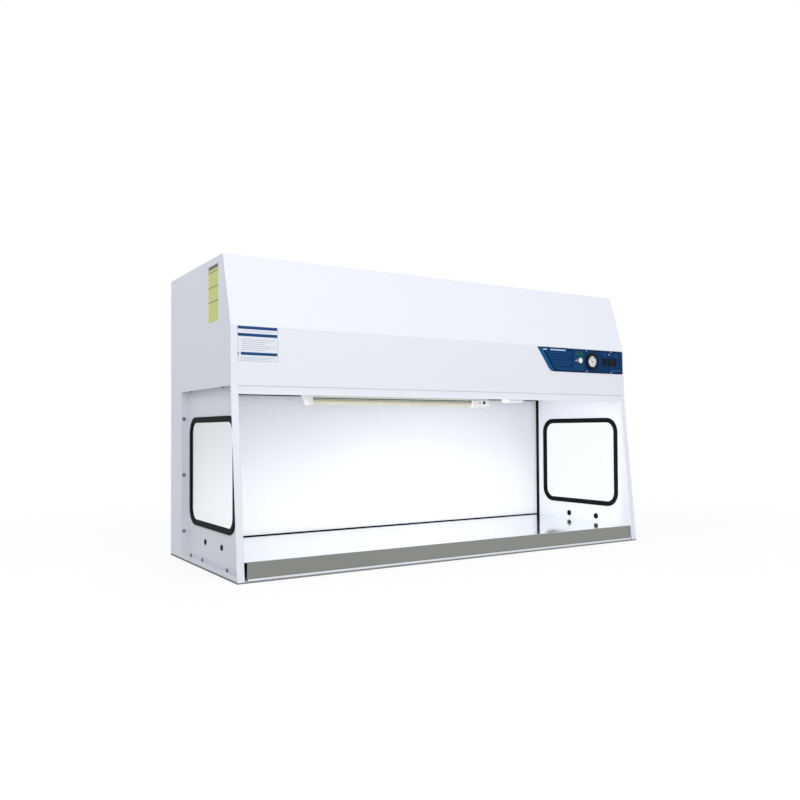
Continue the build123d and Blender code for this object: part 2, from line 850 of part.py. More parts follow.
def build_blower_housing(side):
    """Folded and seamed volute with an inlet ring towards the cabinet's middle."""
    middle_x = side * blower_x
    half = blower_width / 2
    with BuildPart() as housing:
        extrude(scroll_outline(middle_x, 0), amount=half, both=True)
        inside = scroll_outline(middle_x, blower_wall)
        extrude(inside, amount=half - blower_wall, both=True, mode=Mode.SUBTRACT)
        with BuildSketch(blower_plane(middle_x - side * half, side)):
            Circle(inlet_radius + blower_wall)
        extrude(amount=blower_wall + inlet_lip)
        with BuildSketch(blower_plane(middle_x - side * (half + 1), side)):
            Circle(inlet_radius)
        extrude(amount=2 + blower_wall + inlet_lip, mode=Mode.SUBTRACT)
        with BuildSketch(blower_plane(middle_x + side * (half + 1), -side)):
            Circle(hub_radius)
        extrude(amount=2 + blower_wall, mode=Mode.SUBTRACT)
        foot_x = half + outlet_flange / 2
        with Locations(*[(middle_x + end * foot_x, outlet_front, deck_top) for end in (-1, 1)]):
            Box(outlet_flange, outlet_depth, blower_wall, align=(Align.CENTER, Align.MIN, Align.MIN))
    return housing


def build_impeller(side):
    """Forward curved wheel: back disc with hub, blades in a ring and the ring that ties them."""
    back_x = side * (blower_x + blower_width / 2 - blower_wall - inlet_lip)
    root_radius = impeller_radius - blade_depth
    with BuildSketch() as blade:
        with BuildLine():
            RadiusArc((root_radius, 0), (impeller_radius - blade_thickness, blade_curve), -blade_depth)
            offset(amount=blade_thickness, side=Side.LEFT)
        make_face()
    with BuildPart() as wheel:
        with BuildSketch(blower_plane(back_x, -side)):
            Circle(impeller_radius)
        extrude(amount=impeller_disc)
        with BuildSketch(blower_plane(back_x, -side)):
            Circle(hub_radius)
        extrude(amount=hub_length)
        with BuildSketch(blower_plane(back_x, -side)):
            with PolarLocations(0, blade_count):
                add(blade.sketch)
        extrude(amount=impeller_width)
        with BuildSketch(blower_plane(back_x - side * (impeller_width - impeller_ring), -side)):
            Circle(impeller_radius)
            Circle(root_radius, mode=Mode.SUBTRACT)
        extrude(amount=impeller_ring)
        with BuildSketch(blower_plane(back_x + side, -side)):
            Circle(shaft_radius + running_clearance)
        extrude(amount=hub_length + 2, mode=Mode.SUBTRACT)
    return wheel


def build_motor(side):
    """Totally enclosed motor, flanged to the outer side plate of its blower."""
    face_x = side * (blower_x + blower_width / 2)
    with BuildPart() as motor:
        with BuildSketch(blower_plane(face_x, side)):
            Circle(motor_flange_radius)
        extrude(amount=motor_flange)
        with BuildSketch(blower_plane(face_x, side)):
            Circle(motor_radius)
        extrude(amount=motor_length)
        fillet(motor.faces().sort_by(Axis.X)[-1 if side > 0 else 0].edges(), motor_flange)
        with BuildSketch(blower_plane(face_x, side)):
            Circle(shaft_radius + running_clearance)
        extrude(amount=motor_length - 2 * motor_flange, mode=Mode.SUBTRACT)
    return motor


def build_blower_shaft(side):
    """Motor shaft that carries the impeller's hub."""
    back_x = blower_x + blower_width / 2 - blower_wall - inlet_lip
    tip_x = back_x - hub_length
    end_x = blower_x + blower_width / 2 + motor_length - 3 * motor_flange
    with BuildPart() as shaft:
        with BuildSketch(blower_plane(side * tip_x, side)):
            Circle(shaft_radius)
        extrude(amount=end_x - tip_x)
    return shaft


for side, word in ((-1, "left"), (1, "right")):
    finish(build_blower_housing(side), f"{word}_blower_housing")
    finish(build_impeller(side), f"{word}_impeller")
    finish(build_motor(side), f"{word}_blower_motor")
    finish(build_blower_shaft(side), f"{word}_blower_shaft")

# ---- lamp and its wiring cover ------------------------------------------------------------------
lamp_right = lamp_left + lamp_length
tube_left = lamp_left + lamp_cap_left
tube_right = lamp_right - lamp_cap_right
body_bottom = head_bottom - lamp_body_height
cap_bottom = head_bottom - lamp_cap_height
cap_front = lamp_y - lamp_cap_width / 2
tube_z = body_bottom - tube_gap - tube_radius
socket_spots = [(lamp_right - place, head_bottom - socket_height) for place, radius in socket_places]

with BuildPart() as lamp_body:
    with BuildSketch(Plane.YZ.offset(tube_left)):
        with Locations((lamp_y, body_bottom)):
            Rectangle(lamp_body_width, lamp_body_height, align=(Align.CENTER, Align.MIN))
    extrude(amount=lamp_right - tube_left)
    fillet(lamp_body.edges().filter_by(Axis.X).group_by(Axis.Z)[0], bend_radius)
    with BuildSketch(Plane.YZ.offset(tube_left)):
        with Locations((lamp_y, body_bottom)):
            Rectangle(lamp_spine_width, lamp_spine_height, align=(Align.CENTER, Align.MAX))
    extrude(amount=tube_right - tube_left)
finish(lamp_body, "lamp_body")

with BuildPart() as lamp_end_caps:
    with BuildSketch(frontal_plane(cap_front)):
        with BuildLine():
            Polyline(
                (lamp_left, head_bottom), (tube_left, head_bottom), (tube_left, cap_bottom),
                (lamp_left + lamp_cap_slope, cap_bottom), (lamp_left, cap_bottom + 2 * lamp_cap_slope),
                close=True,
            )
        make_face()
    extrude(amount=-lamp_cap_width)
    with Locations((tube_right, cap_front, cap_bottom)):
        Box(lamp_cap_right, lamp_cap_width, body_bottom - cap_bottom, align=Align.MIN)
    fillet(lamp_end_caps.edges().filter_by(Axis.X).group_by(Axis.Z)[0], tube_radius / 2)
    for end_x, facing in ((tube_left, -1), (tube_right, 1)):
        with BuildSketch(Plane(origin=(end_x, lamp_y, tube_z), x_dir=(0, 1, 0), z_dir=(facing, 0, 0))):
            Circle(tube_radius + rubber_clearance)
        extrude(amount=tube_grip, mode=Mode.SUBTRACT)
    for spot, (place, radius) in zip(socket_spots, socket_places):
        with BuildSketch(frontal_plane(cap_front)):
            with Locations(spot):
                Circle(radius)
        extrude(amount=-socket_depth, mode=Mode.SUBTRACT)
finish(lamp_end_caps, "lamp_end_caps")

with BuildPart() as lamp_sockets:
    for spot, (place, radius) in zip(socket_spots, socket_places):
        with BuildSketch(frontal_plane(cap_front)):
            with Locations(spot):
                Circle(radius - rubber_clearance)
        extrude(amount=-socket_depth)
finish(lamp_sockets, "lamp_sockets")

with BuildPart() as lamp_tube:
    grip = tube_grip - rubber_clearance
    with BuildSketch(Plane(origin=(tube_left - grip, lamp_y, tube_z), x_dir=(0, 1, 0), z_dir=(1, 0, 0))):
        Circle(tube_radius)
    extrude(amount=tube_right - tube_left + 2 * grip)
finish(lamp_tube, "lamp_tube")

with BuildPart() as lamp_wiring_cover:
    cover_y = lip_y + rim_width + cover_gap
    for inset, mode in ((0, Mode.ADD), (sheet, Mode.SUBTRACT)):
        with BuildSketch(frontal_plane(cover_y + inset)) as cover_section:
            with Locations((cover_left + cover_width / 2, head_bottom)):
                Rectangle(
                    cover_width - 2 * inset, cover_height - inset, align=(Align.CENTER, Align.MAX),
                )
            fillet(cover_section.vertices().group_by(Axis.Y)[0], cover_height / 3 - inset)
        extrude(amount=-(cover_depth - 2 * inset), mode=mode)
finish(lamp_wiring_cover, "lamp_wiring_cover")

with BuildPart() as lamp_ballast:
    ballast_x = (lamp_left + lamp_right) / 2
    ballast_z = head_bottom + sheet
    with Locations((ballast_x, lamp_y, ballast_z)):
        Box(ballast_length, ballast_width, ballast_height, align=(Align.CENTER, Align.CENTER, Align.MIN))
    fillet(lamp_ballast.edges().filter_by(Axis.X).group_by(Axis.Z)[-1], 2 * sheet)
    with Locations((ballast_x, lamp_y, ballast_z)):
        Box(
            ballast_length + 2 * rim_width, ballast_width, sheet,
            align=(Align.CENTER, Align.CENTER, Align.MIN),
        )
finish(lamp_ballast, "lamp_ballast")


# ---- control panel ------------------------------------------------------------------------------
def front_point(x, drop, lift):
    """Place on the head's lower front: across, down from the fold and off the sheet."""
    return front_at(lift).from_local_coords(Vector(x, -drop, 0))


frame_width = rocker_width + 2 * rocker_clearance + 2 * rocker_frame_wall
frame_length = rocker_length + 2 * rocker_clearance + 2 * rocker_frame_wall
rocker_places = [rocker_middle_x + index * rocker_pitch for index in (-1, 0, 1)]

with BuildPart() as control_panel:
    extrude(panel_outline(0), amount=panel_thickness)
    with BuildSketch(front_at(0)):
        with Locations((gauge_x, -gauge_drop)):
            Circle(gauge_case_radius + rubber_clearance)
        with Locations((knob_x, -knob_drop)):
            Circle(bushing_radius + rubber_clearance)
        with Locations((pilot_x, -knob_drop)):
            Circle(pilot_radius + rubber_clearance)
        with Locations((signal_x, -signal_drop)):
            Circle(signal_radius + rubber_clearance)
        with Locations(*screw_spots):
            Circle(panel_screw_radius + rubber_clearance)
        with Locations(*[(x, -rocker_drop) for x in rocker_places]):
            Rectangle(frame_width + 2 * rubber_clearance, frame_length + 2 * rubber_clearance)
    extrude(amount=panel_thickness, mode=Mode.SUBTRACT)
finish(control_panel, "control_panel")

with BuildPart() as panel_screws:
    with BuildSketch(front_at(panel_thickness)):
        with Locations(*screw_spots):
            Circle(screw_head_radius)
    extrude(amount=screw_head_height)
    with BuildSketch(front_at(panel_thickness)):
        with Locations(*screw_spots):
            Circle(panel_screw_radius)
    extrude(amount=-panel_screw_length)
finish(panel_screws, "panel_screws")

with BuildPart() as gauge_case:
    bezel_top = panel_thickness + gauge_bezel_height
    dial_floor = bezel_top - dial_depth - lens_thickness
    with BuildSketch(front_at(panel_thickness)):
        with Locations((gauge_x, -gauge_drop)):
            Circle(gauge_bezel_radius)
    extrude(amount=gauge_bezel_height)
    bezel_rim = gauge_case.faces().sort_by(Axis.Y)[0].edges()
    chamfer(bezel_rim, gauge_wall)
    with BuildSketch(front_at(panel_thickness)):
        with Locations((gauge_x, -gauge_drop)):
            Circle(gauge_case_radius)
    extrude(amount=-gauge_case_depth)
    with BuildSketch(front_at(bezel_top)):
        with Locations((gauge_x, -gauge_drop)):
            Circle(gauge_dial_radius)
    extrude(amount=dial_floor - bezel_top, mode=Mode.SUBTRACT)
finish(gauge_case, "gauge_case")

with BuildPart() as gauge_dial:
    with BuildSketch(front_at(dial_floor)):
        with Locations((gauge_x, -gauge_drop)):
            Circle(gauge_dial_radius - rubber_clearance)
            Circle(needle_pivot_radius + running_clearance, mode=Mode.SUBTRACT)
    extrude(amount=needle_plate)
finish(gauge_dial, "gauge_dial")

with BuildPart() as gauge_needle:
    needle_lift = dial_floor + 2 * needle_plate
    with BuildSketch(front_at(needle_lift)):
        with Locations((gauge_x, -gauge_drop)):
            Circle(2 * needle_pivot_radius)
            with Locations(Rotation(0, 0, needle_rest_angle)):
                with Locations((needle_length / 2 - needle_tail / 2, 0)):
                    Rectangle(needle_length + needle_tail, needle_pivot_radius)
    extrude(amount=needle_plate)
    with BuildSketch(front_at(dial_floor + rubber_clearance)):
        with Locations((gauge_x, -gauge_drop)):
            Circle(needle_pivot_radius)
    extrude(amount=needle_lift - dial_floor - rubber_clearance)
finish(gauge_needle, "gauge_needle")

with BuildPart() as gauge_lens:
    with BuildSketch(front_at(bezel_top - needle_plate)):
        with Locations((gauge_x, -gauge_drop)):
            Circle(gauge_dial_radius - rubber_clearance)
    extrude(amount=-lens_thickness)
finish(gauge_lens, "gauge_lens")

with BuildPart() as speed_control:
    with BuildSketch(front_at(0)):
        with Locations((knob_x, -knob_drop)):
            Circle(control_radius)
    extrude(amount=-control_depth)
    with BuildSketch(front_at(0)):
        with Locations((knob_x, -knob_drop)):
            Circle(bushing_radius)
    extrude(amount=panel_thickness)
    with BuildSketch(front_at(panel_thickness)):
        with Locations((knob_x, -knob_drop)):
            Circle(knob_shaft_radius + running_clearance)
    extrude(amount=-control_depth, mode=Mode.SUBTRACT)
finish(speed_control, "speed_control")

with BuildPart() as speed_knob:
    knob_base = panel_thickness + knob_lift
    with BuildSketch(front_at(knob_base)):
        with Locations((knob_x, -knob_drop)):
            Circle(knob_radius)
            with PolarLocations(knob_radius, knob_flutes):
                Circle(knob_flute_radius, mode=Mode.SUBTRACT)
    extrude(amount=knob_height, taper=knob_taper)
    with BuildSketch(front_at(knob_base + knob_height)):
        with Locations((knob_x, -knob_drop + knob_radius / 2)):
            Rectangle(knob_mark_width, knob_radius)
    extrude(amount=-knob_mark_width / 2, mode=Mode.SUBTRACT)
    with BuildSketch(front_at(knob_base)):
        with Locations((knob_x, -knob_drop)):
            Circle(knob_shaft_radius)
    extrude(amount=-(control_depth - knob_lift - rocker_frame_height))
finish(speed_knob, "speed_knob")

with BuildPart() as pilot_lamps:
    for x, drop, radius in ((pilot_x, knob_drop, pilot_radius), (signal_x, signal_drop, signal_radius)):
        with BuildSketch(front_at(panel_thickness)):
            with Locations((x, -drop)):
                Circle(radius)
        extrude(amount=-pilot_depth)
        with BuildSketch(front_at(panel_thickness)):
            with Locations((x, -drop)):
                Circle(radius + pilot_rim)
        extrude(amount=pilot_rim)
finish(pilot_lamps, "pilot_lamps")

with BuildPart() as rocker_frames:
    with BuildSketch(front_at(panel_thickness)):
        with Locations(*[(x, -rocker_drop) for x in rocker_places]):
            Rectangle(frame_width + 2 * rocker_frame_lip, frame_length + 2 * rocker_frame_lip)
    extrude(amount=rocker_frame_height)
    with BuildSketch(front_at(panel_thickness)):
        with Locations(*[(x, -rocker_drop) for x in rocker_places]):
            Rectangle(frame_width, frame_length)
    extrude(amount=-rocker_case_depth)
    with BuildSketch(front_at(panel_thickness + rocker_frame_height)):
        with Locations(*[(x, -rocker_drop) for x in rocker_places]):
            Rectangle(rocker_width + 2 * rocker_clearance, rocker_length + 2 * rocker_clearance)
    extrude(amount=-(rocker_case_depth + rocker_frame_height - rocker_frame_wall), mode=Mode.SUBTRACT)
    for x in rocker_places:
        pivot = front_point(x, rocker_drop, rocker_pivot_lift)
        with BuildSketch(Plane(origin=pivot, x_dir=(0, 1, 0), z_dir=(1, 0, 0))):
            Circle(rocker_pin_radius + running_clearance)
        pin_reach = rocker_width / 2 + rocker_clearance + rocker_pin_length + rubber_clearance
        extrude(amount=pin_reach, both=True, mode=Mode.SUBTRACT)
finish(rocker_frames, "rocker_frames")


def build_rocker(x):
    """Rocker button that tips about two pins in its frame, shown with its lower end pressed."""
    pivot = front_point(x, rocker_drop, rocker_pivot_lift)
    lean = front_tilt - math.radians(rocker_tilt)
    up_the_face = (0, math.sin(lean), math.cos(lean))
    half = rocker_length / 2
    with BuildPart() as rocker:
        with BuildSketch(Plane(origin=pivot, x_dir=up_the_face, z_dir=(1, 0, 0))):
            with BuildLine():
                Line((-half, 0), (-half, rocker_rise))
                ThreePointArc((-half, rocker_rise), (0, rocker_rise / 2), (half, rocker_rise))
                Line((half, rocker_rise), (half, 0))
                ThreePointArc((half, 0), (0, -half / 2), (-half, 0))
            make_face()
        extrude(amount=rocker_width / 2, both=True)
        with BuildSketch(Plane(origin=pivot, x_dir=up_the_face, z_dir=(1, 0, 0))):
            Circle(rocker_pin_radius)
        extrude(amount=rocker_width / 2 + rocker_clearance + rocker_pin_length, both=True)
    return rocker


for x, word in zip(rocker_places, ("blower", "light", "outlet")):
    finish(build_rocker(x), f"{word}_rocker")

with BuildPart() as control_box:
    box_middle = ((opening_left + opening_right) / 2, (opening_top + opening_bottom) / 2)
    box_width = opening_right - opening_left + 2 * control_box_margin
    box_height = opening_top - opening_bottom + 2 * control_box_margin
    with BuildSketch(front_at(-sheet)):
        with Locations(box_middle):
            Rectangle(box_width, box_height)
    extrude(amount=-control_box_depth)
    with BuildSketch(front_at(-sheet)):
        with Locations(box_middle):
            Rectangle(box_width - 2 * control_box_wall, box_height - 2 * control_box_wall)
    extrude(amount=-(control_box_depth - control_box_wall), mode=Mode.SUBTRACT)
finish(control_box, "control_box")

# ---- power inlet on the back --------------------------------------------------------------------
with BuildPart() as power_inlet:
    inlet_face = rear_y - sheet
    with BuildSketch(frontal_plane(inlet_face)):
        with Locations((inlet_x, inlet_z)):
            RectangleRounded(inlet_plate_width, inlet_plate_height, inlet_wall)
    extrude(amount=-sheet)
    with BuildSketch(frontal_plane(inlet_face)):
        with Locations((inlet_x, inlet_z)):
            Rectangle(inlet_body_width, inlet_body_height)
    extrude(amount=inlet_body_depth)
    with BuildSketch(frontal_plane(rear_y)):
        with Locations((inlet_x, inlet_z)):
            Rectangle(inlet_body_width - 2 * inlet_wall, inlet_body_height - 2 * inlet_wall)
    extrude(amount=inlet_cavity_depth, mode=Mode.SUBTRACT)
finish(power_inlet, "power_inlet")

with BuildPart() as inlet_pins:
    pin_rows = ((-1, -1), (0, 1), (1, -1))
    pin_spots = [(inlet_x + pin_spacing * across, inlet_z + pin_rise * up) for across, up in pin_rows]
    with BuildSketch(frontal_plane(rear_y - inlet_cavity_depth)):
        with Locations(*pin_spots):
            Rectangle(inlet_wall, 2 * inlet_wall)
    extrude(amount=-(inlet_cavity_depth - 2 * inlet_wall))
finish(inlet_pins, "inlet_pins")

# ---- bolts that hold the side pans ----------------------------------------------------------------
with BuildPart() as frame_bolts:
    bolt_seats = []
    for side in (-1, 1):
        seat_x = side * bolt_x
        web_x = side * (inner_x + sheet)
        rear_y_seat = casing_y - sheet
        top_z_seat = head_bottom - sheet
        bolt_seats += [Plane((seat_x, rear_y_seat, z), (1, 0, 0), (0, -1, 0)) for z in rear_bolt_heights]
        bolt_seats += [Plane((seat_x, y, top_z_seat), (1, 0, 0), (0, 0, -1)) for y in top_bolt_places]
        bolt_seats += [Plane((web_x, y, base_bolt_height), (0, 1, 0), (side, 0, 0)) for y in base_bolt_places]
    for seat in bolt_seats:
        with BuildSketch(seat):
            Circle(bolt_flange_radius)
        extrude(amount=bolt_flange_height)
        with BuildSketch(seat):
            RegularPolygon(bolt_head_radius, 6)
        extrude(amount=bolt_head_height)
        with BuildSketch(seat):
            Circle(bolt_radius)
        extrude(amount=-bolt_length)
finish(frame_bolts, "frame_bolts")
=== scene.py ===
import json
import math

import bmesh
import bpy
from mathutils import Matrix, Vector


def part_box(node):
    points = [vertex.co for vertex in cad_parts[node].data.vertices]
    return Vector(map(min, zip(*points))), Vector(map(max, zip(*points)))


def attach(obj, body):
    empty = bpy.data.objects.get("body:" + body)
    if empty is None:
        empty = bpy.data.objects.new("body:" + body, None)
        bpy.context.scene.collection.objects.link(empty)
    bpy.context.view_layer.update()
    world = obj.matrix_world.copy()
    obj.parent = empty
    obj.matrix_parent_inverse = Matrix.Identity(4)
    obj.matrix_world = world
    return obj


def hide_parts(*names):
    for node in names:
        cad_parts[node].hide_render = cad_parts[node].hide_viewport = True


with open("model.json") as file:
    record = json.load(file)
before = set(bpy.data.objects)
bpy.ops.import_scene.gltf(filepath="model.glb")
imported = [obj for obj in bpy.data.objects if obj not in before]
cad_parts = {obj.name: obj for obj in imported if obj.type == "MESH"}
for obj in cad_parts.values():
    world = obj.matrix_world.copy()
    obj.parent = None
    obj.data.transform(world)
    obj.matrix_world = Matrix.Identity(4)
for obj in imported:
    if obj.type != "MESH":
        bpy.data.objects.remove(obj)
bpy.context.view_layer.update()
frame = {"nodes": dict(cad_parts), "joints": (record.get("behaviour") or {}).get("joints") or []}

NODES = frame["nodes"]
MM = 0.001

# ---- where the prints and the lamp's painted shade lie, in metres ---------------------------
SIDE_LABEL_ALONG = (-0.1960, -0.0915)
SIDE_LABEL_UP = (0.8990, 1.1020)
SIDE_LABEL_RULES = (1.0790, 1.0240, 0.9710)
SIDE_RULE_HALF = 0.0017
SIDE_BAND_FOOT = 1.0890
# top of the lamp body's spine: below it the body's colour is painted dark olive as painted shade
LAMP_PAINTED_SHADE_TOP = 0.6323

# the control panel: across from the middle of the hood, and down from the fold of its front
FOLD_HEIGHT = 0.8705
PANEL_LEFT, PANEL_RIGHT = 0.424, 0.944
PANEL_TOP, PANEL_BOTTOM = 0.004, 0.1085
PANEL_LEAN = 0.074 / 0.1045
PANEL_RIM_TOP, PANEL_RIM_BOTTOM, PANEL_RIM_RIGHT = 0.0042, 0.0046, 0.0040
PANEL_RIM_SLANT = (0.0235, 0.0300)
KNOB_FIELD_ACROSS = (0.639, 0.699)
KNOB_FIELD_DROP = (0.012, 0.100)
BAND_WIDTH = 0.024
BAND_STOPS = [(0.0, 0.0), (0.12, 0.25), (0.5, 1.0), (0.85, 0.55), (1.0, 0.0)]


# ---- shader sums ------------------------------------------------------------------------------
class Term:
    """A shader socket that takes part in Python sums."""

    def __init__(self, finish, socket):
        self.finish = finish
        self.socket = socket

    def combine(self, operation, first, second):
        return self.finish.node("Math", {"operation": operation}, {0: first, 1: second})

    def __add__(self, other):
        return self.combine("ADD", self, other)

    def __sub__(self, other):
        return self.combine("SUBTRACT", self, other)

    def __rsub__(self, other):
        return self.combine("SUBTRACT", other, self)

    def __mul__(self, other):
        return self.combine("MULTIPLY", self, other)

    def __gt__(self, other):
        return self.combine("GREATER_THAN", self, other)

    def __lt__(self, other):
        return self.combine("LESS_THAN", self, other)

    __radd__ = __add__
    __rmul__ = __mul__


class Finish:
    """One procedural material, or the studio round the piece, built node by node."""

    def __init__(self, name, library=bpy.data.materials):
        self.owner = library.new(name)
        self.owner.use_nodes = True
        self.tree = self.owner.node_tree
        self.tree.nodes.clear()

    def node(self, kind, settings=None, inputs=None, output=0):
        """Add a node: its settings first, then the values or links of its sockets."""
        made = self.tree.nodes.new("ShaderNode" + kind)
        for key, value in (settings or {}).items():
            if key == "stops":
                self.set_stops(made.color_ramp, value)
            else:
                setattr(made, key, value)
        for key, value in (inputs or {}).items():
            if isinstance(value, Term):
                self.tree.links.new(value.socket, made.inputs[key])
            else:
                made.inputs[key].default_value = value
        return Term(self, made.outputs[output]) if made.outputs else made

    @staticmethod
    def set_stops(ramp, stops):
        while len(ramp.elements) < len(stops):
            ramp.elements.new(0.5)
        for element, (place, level) in zip(ramp.elements, stops):
            element.position = place
            element.color = (level, level, level, 1)

    def place(self):
        """Position on the piece, in metres."""
        return self.node("TexCoord", output=3)

    def facing(self, axis):
        """How far the surface faces along a world axis, from -1 to 1."""
        return self.node("SeparateXYZ", None, {0: self.node("NewGeometry", output=1)}, output=axis)

    def along(self, axis):
        """Coordinate along one axis, in metres."""
        return self.node("SeparateXYZ", None, {0: self.place()}, output=axis)

    def between(self, value, low, high):
        """1 where a value lies between two limits, else 0."""
        return (value > low) * (value < high)

    def grain(self, scale, detail=2.0, stretch=(1, 1, 1), roughness=0.5):
        """Soft noise from 0 to 1, so many grains to the metre."""
        spread = self.node("Mapping", None, {"Vector": self.place(), "Scale": stretch})
        settings = {"Vector": spread, "Scale": scale, "Detail": detail, "Roughness": roughness}
        return self.node("TexNoise", None, settings)

    def blend(self, factor, first, second):
        """Mix two colours, each a triple or a Term."""
        whole = {0: factor}
        for key, colour in ((6, first), (7, second)):
            whole[key] = colour if isinstance(colour, Term) else (*colour, 1)
        return self.node("Mix", {"data_type": "RGBA"}, whole, output=2)

    def bump(self, height, depth, strength=1.0):
        """Normal from a height of 0 to 1 over a depth in metres."""
        return self.node("Bump", None, {"Height": height, "Distance": depth, "Strength": strength})

    def surface(self, **sockets):
        """Close the material with one principled shader; names use _ for spaces."""
        named = {}
        for key, value in sockets.items():
            named[key.replace("_", " ")] = (*value, 1) if isinstance(value, tuple) else value
        shader = self.node("BsdfPrincipled", None, named)
        self.node("OutputMaterial", None, {"Surface": shader})
        return self.owner


# ---- finishes ---------------------------------------------------------------------------------
def dimmed(colour, share):
    """A colour with each channel cut to a share."""
    return tuple(channel * share for channel in colour)


def powder_coat(name, colour, roughness=0.36, print_or_painted_shade=None):
    """Baked powder paint: faint orange peel, faint unevenness of gloss."""
    finish = Finish(name)
    cloud = finish.grain(2.5, 3.0)
    peel = finish.grain(420.0, 2.0)
    paint = finish.blend(cloud, dimmed(colour, 0.97), colour)
    return finish.surface(
        Base_Color=print_or_painted_shade(finish, paint) if print_or_painted_shade else paint,
        Roughness=roughness + 0.08 * finish.grain(9.0, 4.0),
        Coat_Weight=0.12,
        Coat_Roughness=0.3,
        Normal=finish.bump(peel, 0.00006),
    )


def side_label(finish, paint):
    """Plain yellow label on the outer face: a black head band and three dark rules."""
    across, up = finish.along(1), finish.along(2)
    label = finish.between(across, *SIDE_LABEL_ALONG) * finish.between(up, *SIDE_LABEL_UP)
    label = label * (finish.facing(0) < -0.5)
    rules = sum(
        finish.between(up, height - SIDE_RULE_HALF, height + SIDE_RULE_HALF)
        for height in SIDE_LABEL_RULES
    )
    film = finish.blend(finish.grain(24.0, 3.0), (0.64, 0.64, 0.115), (0.72, 0.71, 0.16))
    film = finish.blend(rules, film, (0.11, 0.105, 0.03))
    film = finish.blend(up > SIDE_BAND_FOOT, film, (0.045, 0.048, 0.05))
    return finish.blend(label, paint, film)


def batten_enamel_painted_shade(finish, paint):
    """Cream lamp body, painted dark olive below the spine top as painted shade of the gap between
    the body and the tube.
    """
    return finish.blend(finish.along(2) < LAMP_PAINTED_SHADE_TOP, paint, (0.085, 0.095, 0.045))


def bench_steel():
    """Stainless sheet: polished on the top, brushed along its length on the nosing."""
    finish = Finish("bench_steel")
    nosing = finish.facing(1) < -0.6
    hairlines = finish.grain(30.0, 4.0, stretch=(0.25, 24.0, 24.0), roughness=0.65)
    wipes = finish.grain(5.0, 4.0, stretch=(0.6, 2.0, 2.0))
    top_colour = finish.blend(wipes, (0.83, 0.875, 0.91), (0.89, 0.92, 0.945))
    front_colour = finish.blend(hairlines, (0.245, 0.255, 0.228), (0.30, 0.312, 0.285))
    return finish.surface(
        Base_Color=finish.blend(nosing, top_colour, front_colour),
        Metallic=1.0 - 0.35 * nosing,
        Roughness=0.07 + 0.05 * wipes + nosing * (0.30 + 0.12 * hairlines),
        Normal=finish.bump(hairlines, 0.00002),
    )


def zinc_sheet():
    """Galvanised sheet with its spangle."""
    finish = Finish("zinc_sheet")
    spangle = finish.node("TexVoronoi", None, {"Vector": finish.place(), "Scale": 55.0}, output=1)
    level = finish.node("RGBToBW", None, {0: spangle})
    return finish.surface(
        Base_Color=finish.blend(level, (0.50, 0.52, 0.54), (0.66, 0.68, 0.70)),
        Metallic=0.85,
        Roughness=0.34 + 0.14 * level,
    )


def turned_steel(name, colour, roughness):
    """Bright turned or plated steel with fine marks."""
    finish = Finish(name)
    marks = finish.grain(260.0, 3.0, stretch=(0.2, 1.0, 1.0))
    return finish.surface(
        Base_Color=finish.blend(marks, dimmed(colour, 0.82), colour),
        Metallic=0.95,
        Roughness=roughness + 0.12 * marks,
    )


def moulded(name, colour, roughness, gloss=0.5, grain_depth=0.00005):
    """Moulded plastic or rubber with a fine matt grain."""
    finish = Finish(name)
    grain = finish.grain(900.0, 2.0)
    return finish.surface(
        Base_Color=finish.blend(finish.grain(14.0, 3.0), dimmed(colour, 0.85), colour),
        Roughness=roughness + 0.1 * grain,
        Specular_IOR_Level=gloss,
        Normal=finish.bump(grain, grain_depth),
    )


def filter_face():
    """White perforated guard in front of the filter: fine staggered holes, each tinted grey as
    painted shade seen through it.
    """
    finish = Finish("filter_face")
    spread = finish.node("Mapping", None, {"Vector": finish.place(), "Scale": (1, 0, 1)})
    cells = finish.node("TexVoronoi", None, {"Vector": spread, "Scale": 230.0, "Randomness": 0.0})
    hole = cells < 0.3
    cloud = finish.grain(1.6, 2.0)
    paint = finish.blend(cloud, (0.90, 0.915, 0.93), (0.93, 0.94, 0.955))
    return finish.surface(
        # the holes are tinted a little grey: painted shade inside the perforations
        Base_Color=finish.blend(hole * 0.07, paint, (0.55, 0.57, 0.58)),
        Roughness=0.5,
        Normal=finish.bump(1.0 - hole, 0.00015, 0.3),
    )


def pleated_paper():
    """Glass fibre filter paper."""
    finish = Finish("filter_paper")
    fibres = finish.grain(700.0, 4.0)
    return finish.surface(
        Base_Color=finish.blend(fibres, (0.82, 0.82, 0.78), (0.92, 0.92, 0.89)),
        Roughness=0.9,
        Normal=finish.bump(fibres, 0.0002),
    )


def fleece():
    """Polyester prefilter fleece: tangled fibres, a little open."""
    finish = Finish("prefilter_fleece")
    tangle = finish.grain(320.0, 6.0, roughness=0.7)
    return finish.surface(
        Base_Color=finish.blend(tangle, (0.66, 0.68, 0.69), (0.88, 0.90, 0.91)),
        Roughness=0.95,
        Normal=finish.bump(tangle, 0.0012),
    )


def clear_glass(name, tint=(0.97, 0.99, 0.985)):
    """Clear pane with the faintest unevenness of its gloss."""
    finish = Finish(name)
    return finish.surface(
        Base_Color=tint,
        Roughness=0.01 + 0.02 * finish.grain(6.0, 2.0),
        IOR=1.46,
        Transmission_Weight=1.0,
    )


def coated_tube():
    """Fluorescent tube, switched off: cream coating seen through its glass."""
    finish = Finish("coated_tube")
    dust = finish.grain(40.0, 3.0)
    return finish.surface(
        Base_Color=finish.blend(dust, (0.60, 0.54, 0.40), (0.72, 0.66, 0.52)),
        Roughness=0.22,
        Coat_Weight=0.5,
        Coat_Roughness=0.06,
    )


